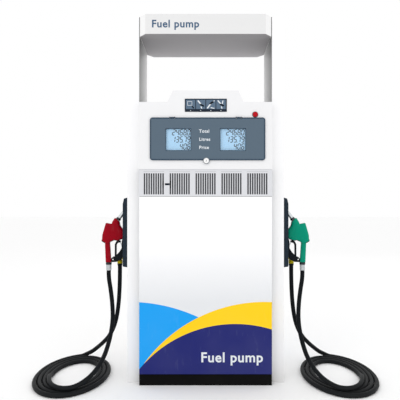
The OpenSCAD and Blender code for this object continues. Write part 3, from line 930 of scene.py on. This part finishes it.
@dataclass
class Display:
    """One face's display: overlay door, windows, digits, lock, button and instruction plate."""

    face: Face
    digit_height: float = 0.0335
    digit_width: float = 0.0142
    digit_pitch: float = 0.0226
    stroke: float = 0.0048
    slant: float = 0.14
    rows: tuple = (("2468.0", 1.5265), ("135.79", 1.4835), ("40.6", 1.4405))

    def build(self) -> None:
        """Dresses the display's nodes and adds its digits and trim."""
        label = self.face.label
        door = f"display_door_{label}"
        finish = DisplayFinish(
            f"overlay_slate_{label}", srgb(90, 106, 120), srgb(84, 100, 114), 0.42, coat=0.1, dust=0.0,
            scuffs=0.05, face=self.face,
        )
        softened(door, finish, door, 0.0008)
        self.glass(label)
        lock = f"door_lock_{label}"
        softened(lock, LOCK, lock, 0.0009)
        self.lock_ring(label, door)
        self.button(label)
        self.digits(label)
        self.window_frames(label, door)
        self.plate(label)

    def glass(self, label: str) -> None:
        """Clear panes over the displays."""
        material = bpy.data.materials.get("window_clear") or bpy.data.materials.new("window_clear")
        material.use_nodes = True
        shader = material.node_tree.nodes["Principled BSDF"]
        shader.inputs["Base Color"].default_value = (0.93, 0.97, 1.0, 1)
        shader.inputs["Roughness"].default_value = 0.04
        shader.inputs["Alpha"].default_value = 0.05
        shader.inputs["Specular IOR Level"].default_value = 0.4
        g = Graph(material.node_tree)
        grain = g.add("Group", node_tree=GRAIN)
        bump = g.add("Bump", Height=grain.outputs["Height"], Strength=0.02, Distance=0.0002)
        g.tree.links.new(bump.outputs["Normal"], shader.inputs["Normal"])
        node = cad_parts[f"display_window_{label}"]
        node.data.materials.clear()
        node.data.materials.append(material)

    def lock_ring(self, label: str, door: str) -> None:
        """Grey collar round the lock, and a key slot on its cap."""
        low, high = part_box("door_lock_front")
        middle = ((low.x + high.x) / 2, low.y, (low.z + high.z) / 2)
        ring = bmesh.new()
        profile = [
            (0.0157, 0.0), (0.0157, 0.0024), (0.0163, 0.003), (0.0178, 0.003), (0.0184, 0.0024),
            (0.0184, 0.0),
        ]
        at = self.face.turn @ axis_matrix((middle[0], -0.258, middle[2]), (0, -1, 0))
        add_turned(ring, profile, at)
        piece = new_piece(f"lock_collar_{label}", ring, STEEL, door)
        slot = bmesh.new()
        add_box(
            slot, (middle[0] - 0.001, low.y - 0.0003, middle[2] - 0.005),
            (middle[0] + 0.001, low.y + 0.001, middle[2] + 0.005),
        )
        bmesh.ops.transform(slot, matrix=self.face.turn, verts=slot.verts)
        piece = new_piece(f"lock_keyway_{label}", slot, PRINT_BLACK, f"door_lock_{label}", smooth=False)

    def button(self, label: str) -> None:
        """Domed stop button, and the ring it sits in, dark grey as a painted shadow round the button."""
        low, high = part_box("stop_button_front")
        x, z = (low.x + high.x) / 2, (low.z + high.z) / 2
        depth = high.y - low.y
        cap = [(0.0, depth), (0.0085, depth - 0.0008), (0.0125, depth - 0.0022), (0.0149, depth - 0.0044)]
        rim = [(0.0155, depth - 0.0062)]
        stem = [(0.0155, depth - 0.007), (0.0049, depth - 0.0071), (0.0049, 0.0), (0.0, 0.0)]
        at = self.face.turn @ axis_matrix((x, high.y, z), (0, -1, 0))
        bm = bmesh.new()
        add_turned(bm, [*cap, *rim, *stem], at)
        body = f"stop_button_{label}"
        piece = new_piece(f"stop_button_cap_{label}", bm, BUTTON, body)
        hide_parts(body)
        # A thin flat ring in painted-shade grey: the button's painted shadow ring.
        ring = bmesh.new()
        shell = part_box("head_shell")[0].y
        profile = [(0.0105, 0.0), (0.0105, 0.0004), (0.0172, 0.0006), (0.0186, 0.0), (0.0105, 0.0)]
        add_turned(ring, profile, self.face.turn @ axis_matrix((x, shell, z), (0, -1, 0)))
        piece = new_piece(f"stop_button_ring_{label}", ring, SHADE_GREY, ROOT)

    def bar(self, bm: bmesh.types.BMesh, at: tuple, upright: bool, panel: float) -> None:
        """Adds one pointed bar of a digit.

        Args:
            bm: the mesh to add to.
            at: the bar's centre across and up, then the height of its row.
            upright: whether the bar stands up.
            panel: Y of the panel it lies on.
        """
        length = (self.digit_height / 2 if upright else self.digit_width) - self.stroke * 0.2
        half, tip = length / 2, self.stroke / 2
        outline = [
            (-half, 0), (-half + tip, -tip), (half - tip, -tip), (half, 0), (half - tip, tip),
            (-half + tip, tip),
        ]
        if upright:
            outline = [(b, -a) for a, b in outline]
        shear = [(at[0] + x + self.slant * (at[1] + z - at[2]), at[1] + z) for x, z in outline]
        add_prism(bm, shear, panel - 0.0004, panel)

    def digits(self, label: str) -> None:
        """Seven-bar digits and points on both panels."""
        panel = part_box("lcd_modules")[0].y
        bars = {
            "0": "abcdef", "1": "bc", "2": "abged", "3": "abgcd", "4": "fgbc", "5": "afgcd", "6": "afgedc",
            "7": "abc", "8": "abcdefg", "9": "abcdfg",
        }
        w, h = self.digit_width / 2, self.digit_height / 2
        spots = {"a": (0, h, False), "g": (0, 0, False), "d": (0, -h, False), "f": (-w, h / 2, True),
                 "b": (w, h / 2, True), "e": (-w, -h / 2, True), "c": (w, -h / 2, True)}
        bm = bmesh.new()
        for right in (-0.094, 0.232):
            for text, z in self.rows:
                x = right - w
                for mark in reversed(text):
                    if mark == ".":
                        add_prism(bm, [(x + w + 0.001, z - h - 0.002), (x + w + 0.005, z - h - 0.002),
                                       (x + w + 0.005, z - h + 0.002), (x + w + 0.001, z - h + 0.002)],
                                  panel - 0.0004, panel)
                        continue
                    for key in bars[mark]:
                        dx, dz, upright = spots[key]
                        self.bar(bm, (x + dx, z + dz, z), upright, panel)
                    x -= self.digit_pitch
        bmesh.ops.transform(bm, matrix=self.face.turn, verts=bm.verts)
        piece = new_piece(f"display_digits_{label}", bm, INK, ROOT, smooth=False)

    def window_frames(self, label: str, door: str) -> None:
        """Slim dark lips round the two windows."""
        bm = bmesh.new()
        for x0, x1 in ((-0.240, -0.087), (0.087, 0.242)):
            z0, z1, t = 1.415, 1.549, 0.0022
            for low, high in (
                ((x0, z0), (x1, z0 + t)), ((x0, z1 - t), (x1, z1)), ((x0, z0 + t), (x0 + t, z1 - t)),
                ((x1 - t, z0 + t), (x1, z1 - t)),
            ):
                add_box(bm, (low[0], -0.2578, low[1]), (high[0], -0.2502, high[1]), 0.0005)
        bmesh.ops.transform(bm, matrix=self.face.turn, verts=bm.verts)
        piece = new_piece(f"window_lips_{label}", bm, INK, door, smooth=False)

    def plate(self, label: str) -> None:
        """Four cells with plain pictures of how to fill up."""
        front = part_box("instruction_plates")[0].y
        cells = bmesh.new()
        pale = bmesh.new()
        dark = bmesh.new()
        cell_w, first = 0.0565, -0.1185
        for i in range(4):
            x = first + i * (cell_w + 0.0045)
            add_box(cells, (x, front - 0.0006, 1.6655), (x + cell_w, front + 0.001, 1.7215), 0.0003)
            mid = x + cell_w / 2
            add_box(pale, (mid - 0.002, front - 0.0007, 1.6545), (mid + 0.002, front, 1.6585))
            self.picture(i, pale, dark, mid, 1.6935, front - 0.0006)
        for bm, name, finish, slot in (
            (cells, "plate_cells", CELL, "display_slate"),
            (pale, "plate_pale_marks", PRINT_WHITE, "casing_white"),
            (dark, "plate_dark_marks", PRINT_BLACK, "counter_black"),
        ):
            bmesh.ops.transform(bm, matrix=self.face.turn, verts=bm.verts)
            new_piece(f"{name}_{label}", bm, finish, ROOT, smooth=False)

    def picture(
        self, kind: int, pale: bmesh.types.BMesh, dark: bmesh.types.BMesh, x: float, z: float, y: float,
    ) -> None:
        """Draws one plain picture: a panel with a drop, a nozzle, a nozzle in use, or a nozzle hung up.

        Args:
            kind: which of the four pictures.
            pale: mesh for white shapes.
            dark: mesh for black shapes.
            x: centre of the cell across.
            z: centre of the cell up.
            y: the cell's front face.
        """
        def stroke(bm: bmesh.types.BMesh, a: tuple, b: tuple, wide: float) -> None:
            """Adds a flat stroke from a to b, in millimetres from the cell's centre."""
            start, end = Vector(a) * MM, Vector(b) * MM
            along = (end - start).normalized() * wide * MM / 2
            across = Vector((-along.y, along.x))
            corners = [
                start - across, end - across, end + along, end + across, start + across, start - along,
            ]
            add_prism(bm, [(x + c.x, z + c.y) for c in corners], y - 0.0004, y)

        if kind == 0:
            for a, b in (
                ((-18, -6), (-18, 18)), ((-18, 18), (8, 18)), ((8, 18), (8, -6)), ((8, -6), (-18, -6)),
            ):
                stroke(pale, a, b, 2.2)
            stroke(dark, (10, -12), (18, -22), 8)
        elif kind == 1:
            stroke(pale, (-16, 22), (0, 2), 8)
            stroke(dark, (-2, 0), (18, -10), 9)
            stroke(pale, (2, -14), (6, -24), 6)
        elif kind == 2:
            stroke(pale, (-20, -22), (-2, 2), 8)
            stroke(dark, (-4, 4), (14, 16), 10)
            stroke(pale, (14, 18), (22, 22), 5)
            stroke(pale, (0, -20), (20, -24), 5)
        else:
            stroke(pale, (-18, 22), (-2, 4), 7)
            stroke(pale, (12, 22), (8, 4), 6)
            stroke(dark, (-4, 0), (16, -8), 9)
            stroke(pale, (2, -14), (6, -24), 6)


@dataclass
class LowerDoor:
    """One face's large lower door."""

    face: Face

    def build(self) -> None:
        """Rounds the door's edges and paints its bands."""
        label = self.face.label
        body = f"lower_door_{label}"
        finish = DoorFinish(
            f"door_paint_{label}", srgb(250, 250, 251), srgb(246, 246, 247), 0.36, coat=0.03, scuffs=0.02,
            dust=0.0,
            face=self.face,
        )
        softened(body, finish, body, 0.0014)


# ---------------------------------------------------------------- nozzle side


@dataclass
class NozzleSet:
    """One side's boot, outlet fitting, nozzle, lever, guard and swivel."""

    side: Side
    voxel: float = 0.0019
    round_depth: float = 0.024
    edge_share: float = 0.56
    swivel_x: float = 0.631
    outlet_at: tuple[float, float, float] = (0.568, 0.058, 0.6852)

    @property
    def hue(self) -> Finish:
        """Red sleeve on the left, green on the right."""
        return NOZZLE_RED if self.side is Side.LEFT else NOZZLE_GREEN

    def mirrored(self, outline: list) -> list:
        """Outline in millimetres for the right, as metres on this side."""
        points = [(self.side.value * x * MM, z * MM) for x, z in outline]
        return points if self.side is Side.RIGHT else points[::-1]

    def build(self) -> None:
        """Makes everything on this side except the hose."""
        label = self.side.label
        body = f"nozzle_{label}"
        softened(f"boot_{label}", BOOT, ROOT, 0.0028, 3)
        softened(f"outlet_fitting_{label}", YELLOW, ROOT, 0.0012)
        self.sleeve(label, body)
        softened(f"nozzle_spout_{label}", ALLOY_BRIGHT, body, 0.0008)
        self.spout_collar(label, body)
        softened(f"lever_guard_{label}", NYLON, body, 0.0022, 3)
        softened(f"trigger_lever_{label}", NYLON, f"trigger_lever_{label}", 0.0014, 3)
        self.trims(label, body)
        self.swivel(label)
        self.outlet_ferrule(label)

    def walls(self, mesh: bpy.types.Mesh) -> BVHTree:
        """Tree of the side walls that a flat-sided shape has along its outline, without its holes."""
        verts = [v.co.copy() for v in mesh.vertices]
        faces = []
        for face in mesh.polygons:
            corners = [verts[i] for i in face.vertices]
            spread = max(math.hypot(a.x - b.x, a.z - b.z) for a in corners for b in corners)
            ends = [c.y for c in corners]
            if abs(face.normal.y) < 0.05 and spread > 0.004 and min(ends) < -0.0155 and max(ends) > 0.0155:
                faces.append(tuple(face.vertices))
        return BVHTree.FromPolygons(verts, faces)

    def sleeve(self, label: str, body: str) -> None:
        """Moulded sleeve: the valve body with pillowed sides and soft edges."""
        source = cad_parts[f"nozzle_body_{label}"].data
        walls = self.walls(source)
        name = f"nozzle_sleeve_{label}"
        draft = bpy.data.objects.new(name + "_draft", source.copy())
        bpy.context.scene.collection.objects.link(draft)
        remesh = draft.modifiers.new("even_mesh", "REMESH")
        remesh.mode = "VOXEL"
        remesh.voxel_size = self.voxel
        bpy.context.view_layer.update()
        mesh = bpy.data.meshes.new_from_object(draft.evaluated_get(bpy.context.evaluated_depsgraph_get()))
        bpy.data.objects.remove(draft)
        bm = bmesh.new()
        bm.from_mesh(mesh)
        for vert in bm.verts:
            depth = walls.find_nearest(vert.co)[3]
            share = max(0.0, 1 - depth / self.round_depth)
            vert.co.y *= self.edge_share + (1 - self.edge_share) * math.sqrt(1 - share * share)
        for _ in range(3):
            bmesh.ops.smooth_vert(
                bm, verts=bm.verts, factor=0.5, use_axis_x=True, use_axis_y=True, use_axis_z=True,
            )
        piece = new_piece(name, bm, self.hue, body)
        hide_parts(f"nozzle_body_{label}")

    def spout_collar(self, label: str, body: str) -> None:
        """Ring where the spout leaves the sleeve."""
        lean = math.radians(36)
        way = Vector((-self.side.value * math.sin(lean), 0, math.cos(lean)))
        root = Vector((self.side.value * 0.578, 0, 0.979))
        bm = bmesh.new()
        profile = [(0.0121, -0.002), (0.0152, -0.002), (0.0158, -0.001), (0.0158, 0.0055), (0.0148, 0.007),
                   (0.0138, 0.0072), (0.0138, 0.0105), (0.0132, 0.0115), (0.0121, 0.0115), (0.0121, -0.002)]
        add_turned(bm, profile, axis_matrix(root + way * 0.016, way))
        piece = new_piece(f"spout_collar_{label}", bm, DARK_CHROME, body)

    def trims(self, label: str, body: str) -> None:
        """Black foot under the sleeve, put where its lower edge lies in shade, so partly painted shade; and
        the lever's hold-open clip.
        """
        # The foot stands where the sleeve's lower edge is shaded: a black nylon part for painted shade.
        inner = [
            (543, 863), (572, 853), (593, 856), (613, 847), (614, 854), (594, 863), (572, 861),
            (544, 871),
        ]
        outer = [(656, 838.5), (675, 850.5), (674.5, 862), (668, 859), (655, 848)]
        bm = bmesh.new()
        half = 0.0165
        for outline in (inner, outer):
            add_prism(bm, self.mirrored(outline), -half, half, 0.0012)
        piece = new_piece(f"sleeve_foot_{label}", bm, NYLON, body)
        clip = [
            (565, 847), (555, 841), (549, 829), (545.5, 812), (550.9, 811), (554, 825.6), (559.4, 836.4),
            (566, 841.6),
        ]
        bm = bmesh.new()
        add_prism(bm, self.mirrored(clip), 0.0105, 0.0165, 0.0006)
        piece = new_piece(f"hold_open_clip_{label}", bm, CHROME, body)

    def swivel(self, label: str) -> None:
        """Hose swivel: a bright crimped sleeve under a dark ribbed collar."""
        body = f"hose_swivel_{label}"
        at = Matrix.Translation((self.side.value * self.swivel_x, 0, 0.661))
        sleeve = [(0.0145, 0.0), (0.0166, 0.0), (0.0174, 0.0008)]
        for k in range(4):
            z = 0.006 + k * 0.0075
            sleeve += [(0.0174, z), (0.0164, z + 0.0008), (0.0164, z + 0.0018), (0.0174, z + 0.0026)]
        sleeve += [
            (0.0174, 0.0362), (0.0166, 0.0372), (0.0085, 0.0374), (0.0085, 0.034), (0.0145, 0.033),
            (0.0145, 0.0),
        ]
        bm = bmesh.new()
        add_turned(bm, sleeve, at, 48)
        piece = new_piece(f"swivel_sleeve_{label}", bm, CHROME, body)
        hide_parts(body)
        collar = [(0.008, 0.0372), (0.0182, 0.0372), (0.0194, 0.0384)]
        for k in range(3):
            z = 0.0402 + k * 0.0034
            collar += [(0.0194, z), (0.0186, z + 0.0006), (0.0186, z + 0.0012), (0.0194, z + 0.0018)]
        collar += [
            (0.0194, 0.0502), (0.0182, 0.0514), (0.008, 0.0514), (0.008, 0.069), (0.0, 0.069),
            (0.0, 0.0372),
        ]
        bm = bmesh.new()
        add_turned(bm, [*collar, (0.008, 0.0372)], at, 48)
        piece = new_piece(f"swivel_collar_{label}", bm, DARK_CHROME, body)

    def outlet_ferrule(self, label: str) -> None:
        """Crimped ferrule, in black nylon, where the hose leaves the outlet fitting."""
        bm = bmesh.new()
        profile = [(0.0141, 0.0), (0.0158, 0.0), (0.0165, 0.0007), (0.0165, 0.0062), (0.0156, 0.007),
                   (0.0156, 0.009),
                   (0.0165, 0.0098), (0.0165, 0.0135), (0.0158, 0.0142), (0.0141, 0.0142), (0.0141, 0.0)]
        x, y, z = self.outlet_at
        add_turned(bm, profile, Matrix.Translation((self.side.value * x, y, z)), 40)
        piece = new_piece(f"outlet_ferrule_{label}", bm, NYLON, ROOT)


# ---------------------------------------------------------------- inside the cabinet


@dataclass
class Drive:
    """One side's motor, pump, belts' pulleys, meter, valve and pipes."""

    side: Side
    motor: tuple[float, float] = (0.300, 0.200)
    pump: tuple[float, float] = (0.120, 0.240)

    def build(self) -> None:
        """Finishes the castings and adds fins, bolt heads and belt grooves."""
        label = self.side.label
        for node, finish in (
            (f"motor_{label}", MOTOR), (f"pump_{label}", IRON), (f"meter_{label}", ALLOY),
            (f"valve_{label}", BRASS),
            (f"pipework_{label}", STEEL),
        ):
            softened(node, finish, ROOT, 0.0012)
        self.fins(label)
        self.bolts(label)
        self.pulley(f"motor_pulley_{label}", self.motor, 0.030, 0.009, 0.080)
        self.rim(f"pump_pulley_{label}", self.pump, 0.090)

    def fins(self, label: str) -> None:
        """Cooling fins round the upper part of the motor."""
        bm = bmesh.new()
        for k in range(25):
            angle = math.radians(-30 + k * 10)
            place = Matrix.Translation((self.side.value * self.motor[0], 0.045, self.motor[1]))
            turn = Matrix.Rotation(-angle, 4, "Y")
            stand = Matrix.LocRotScale((0.0785, 0, 0), None, (0.009, 0.19, 0.0022))
            if math.radians(62) < angle < math.radians(118):
                continue
            bmesh.ops.create_cube(bm, size=1.0, matrix=place @ turn @ stand)
        piece = new_piece(f"motor_fins_{label}", bm, MOTOR, ROOT, smooth=False)

    def bolts(self, label: str) -> None:
        """Bolt heads on the pump's cover and on the meter's top."""
        bm = bmesh.new()
        head = [(0.0, 0.005), (0.0066, 0.005), (0.0072, 0.0044), (0.0072, -0.002), (0.0, -0.002)]
        x0, z0 = self.side.value * self.pump[0], self.pump[1]
        for dx in (-0.048, 0.048):
            for dz in (-0.105, 0.0, 0.078):
                add_turned(bm, head, axis_matrix((x0 + dx, -0.055, z0 + dz), (0, -1, 0)), 6)
        for k in range(6):
            angle = k * math.tau / 6
            at = (x0 + 0.052 * math.cos(angle), 0.058 + 0.052 * math.sin(angle), 0.58)
            add_turned(bm, head, Matrix.Translation(at), 6)
        piece = new_piece(f"cover_bolts_{label}", bm, STEEL, ROOT, smooth=False)

    def grooved(self, radius: float, width: float) -> list:
        """Profile of a pulley's rim with two belt grooves, from its front to its back."""
        out = [(radius - 0.001, 0.0), (radius, 0.001)]
        for middle in (width * 0.32, width * 0.68):
            floor = radius - 0.0045
            out += [(radius, middle - 0.0042), (floor, middle - 0.0022)]
            out += [(floor, middle + 0.0022), (radius, middle + 0.0042)]
        return [*out, (radius, width - 0.001), (radius - 0.001, width)]

    def pulley(self, node: str, at: tuple, radius: float, shaft: float, length: float) -> None:
        """Small pulley with its shaft."""
        bm = bmesh.new()
        nose = [(0.0, 0.0), (shaft - 0.001, 0.0), (shaft, 0.001), (shaft + 0.004, 0.001)]
        profile = [*nose, *self.grooved(radius, 0.030), (shaft, 0.030), (shaft, length), (0.0, length)]
        add_turned(bm, profile, axis_matrix((self.side.value * at[0], -0.120, at[1]), (0, 1, 0)), 48)
        piece = new_piece(node + "_finished", bm, IRON, node)
        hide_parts(node)

    def rim(self, node: str, at: tuple, radius: float) -> None:
        """Large pulley with lightening holes, and a hub ring on its face."""
        softened(node, IRON, node, 0.0012)
        bm = bmesh.new()
        place = axis_matrix((self.side.value * at[0], -0.120, at[1]), (0, -1, 0))
        profile = [(0.0, 0.004), (0.010, 0.004), (0.011, 0.003), (0.024, 0.003), (0.026, 0.001)]
        add_turned(bm, [*profile, (0.026, -0.001), (0.0, -0.001)], place, 40)
        piece = new_piece(node + "_hub", bm, STEEL, node)


@dataclass
class Inside:
    """Frame, electronics, hinges, belts and fasteners."""

    def build(self) -> None:
        """Gives each remaining node its finish."""
        softened("instruction_plates", PLATE, ROOT, 0.0014)
        softened("inner_frame", STEEL, ROOT, 0.0012)
        softened("control_box", CASING, ROOT, 0.0012)
        for node, finish in (
            ("lcd_modules", LCD), ("totalisers", COUNTER), ("hinge_pins", HINGE), ("frame_bolts", STEEL),
            ("drive_belts", BELT),
        ):
            dress(node, finish)
        for face in Face:
            self.counter(face)

    def counter(self, face: Face) -> None:
        """Row of small number wheels behind the counter's slot."""
        bm = bmesh.new()
        for k in range(6):
            x = -0.2415 + k * 0.0042
            add_box(bm, (x, -0.2478, 1.2102), (x + 0.0032, -0.2468, 1.2158), 0.0004)
        bmesh.ops.transform(bm, matrix=face.turn, verts=bm.verts)
        piece = new_piece(f"counter_wheels_{face.label}", bm, INK, ROOT, smooth=False)


def main() -> None:
    """Builds the dispenser and its studio."""
    logging.basicConfig(level=logging.INFO)
    studio = Studio()
    studio.camera()
    for side in Side:
        Hose(side).build()
    Casing().build()
    for face in Face:
        Display(face).build()
        LowerDoor(face).build()
    Printing().build()
    for side in Side:
        NozzleSet(side).build()
        Drive(side).build()
    Inside().build()
    studio.light()
    studio.floor()


if __name__ == "__main__":
    main()
